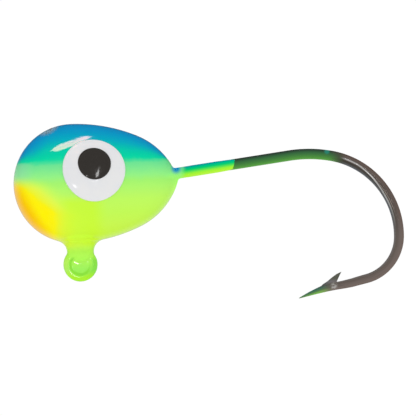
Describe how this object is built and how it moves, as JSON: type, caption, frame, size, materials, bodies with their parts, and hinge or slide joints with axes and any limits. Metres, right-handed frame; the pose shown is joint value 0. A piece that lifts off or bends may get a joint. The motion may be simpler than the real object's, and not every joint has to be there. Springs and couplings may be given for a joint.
{
  "type": "jig head",
  "caption": "Egg-shaped painted lead ball cast round a barbed jig hook, with a line-tie eye on a collar under the ball and enamel eyes on the cheeks.",
  "frame": {"origin": "centre of the line-tie eye", "axes": "+X from the nose of the ball to the bend of the hook, +Z from the line-tie eye up to the back of the ball, XZ the plane of symmetry"},
  "size_m": [0.0252, 0.008, 0.0113],
  "materials": {
    "black_nickel_steel": "dark, smoky nickel plate on hook wire",
    "lead_alloy": "dull cast lead alloy",
    "white_base_coat": "white base coat",
    "colour_coat": "glossy airbrushed blue, green, chartreuse and orange",
    "white_enamel": "glossy off-white enamel",
    "dark_enamel": "glossy near-black enamel"
  },
  "bodies": {
    "root": {"hook": "black_nickel_steel", "lead_head": "lead_alloy", "base_coat": "white_base_coat", "colour_coat": "colour_coat", "eye_hole_film": "colour_coat", "left_eye_white": "white_enamel", "left_eye_pupil": "dark_enamel", "right_eye_white": "white_enamel", "right_eye_pupil": "dark_enamel"}
  },
  "joints": []
}
